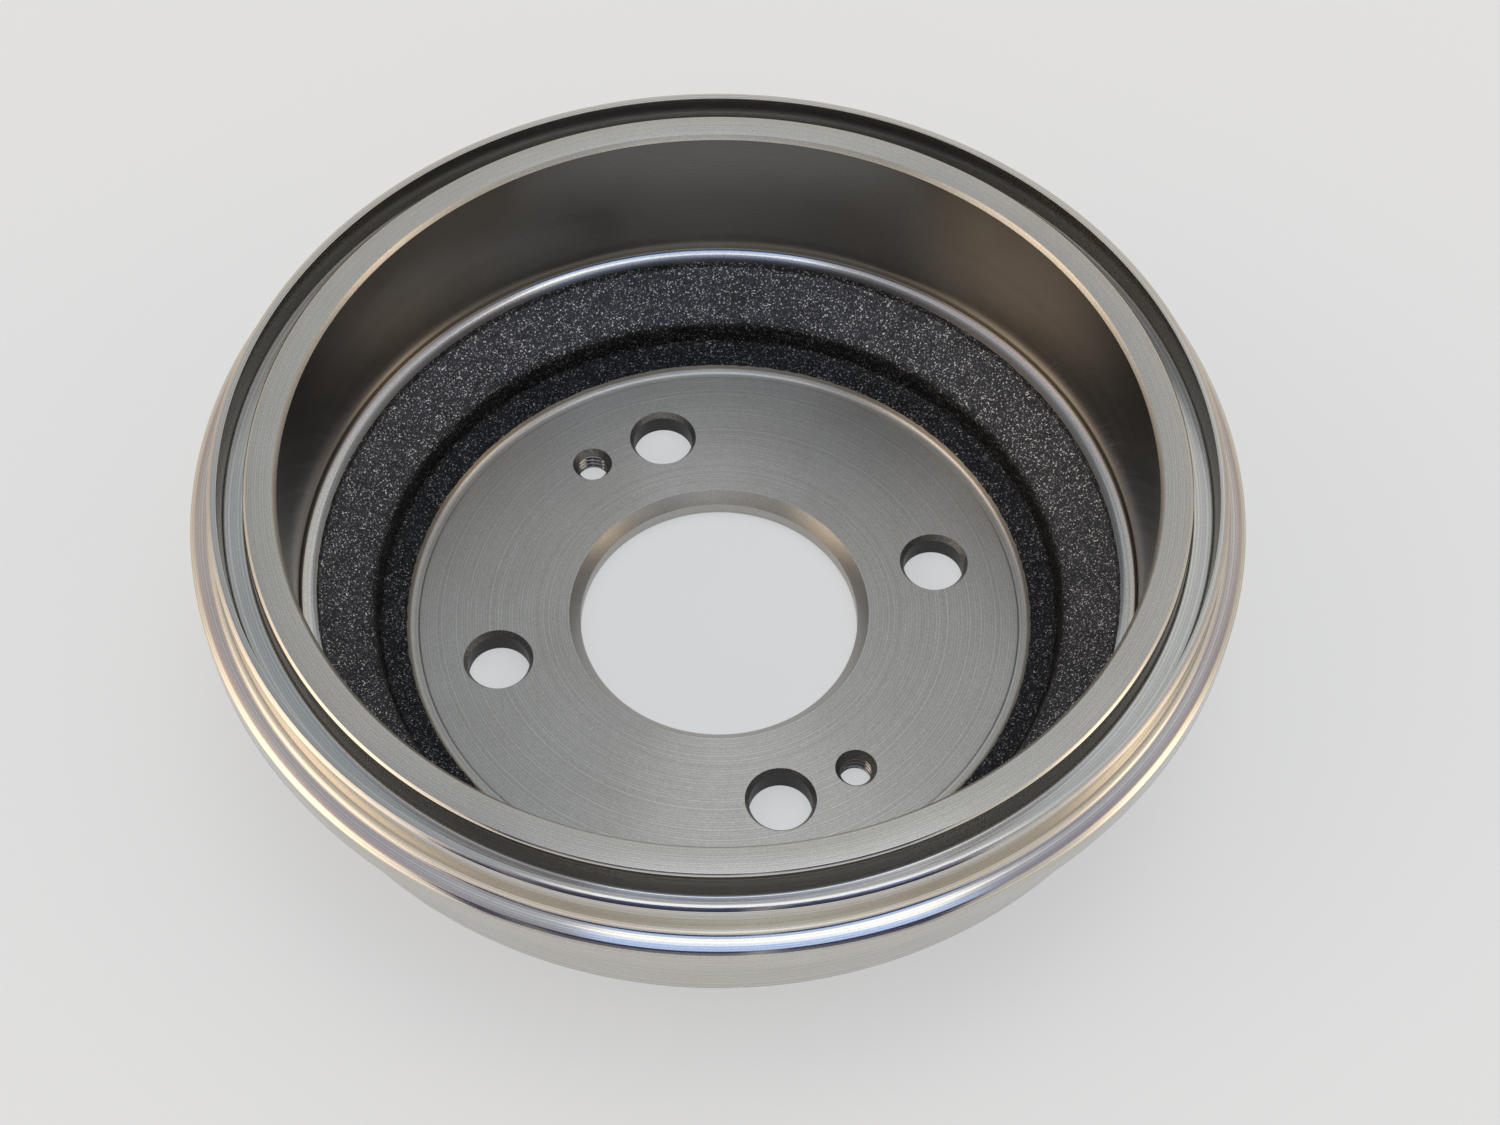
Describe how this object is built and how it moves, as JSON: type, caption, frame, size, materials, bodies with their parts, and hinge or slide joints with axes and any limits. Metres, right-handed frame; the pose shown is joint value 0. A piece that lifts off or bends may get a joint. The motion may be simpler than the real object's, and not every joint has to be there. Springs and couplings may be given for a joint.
{
  "type": "brake drum",
  "caption": "Turned cast-iron brake drum, open on one side, with a labyrinth groove and lip at the rim and a flat web with pilot bore, stud holes and jacking holes.",
  "frame": {"origin": "centre of the wheel face, on the drum's axis", "axes": "+Z along the drum's axis, from the wheel face to the open side; +X through a stud hole"},
  "size_m": [0.2172, 0.2172, 0.062],
  "materials": {
    "grey_iron": "bare grey iron: turned on the working faces, as cast on the floor and cone inside"
  },
  "bodies": {
    "root": {"brake_drum": "grey_iron"}
  },
  "joints": []
}
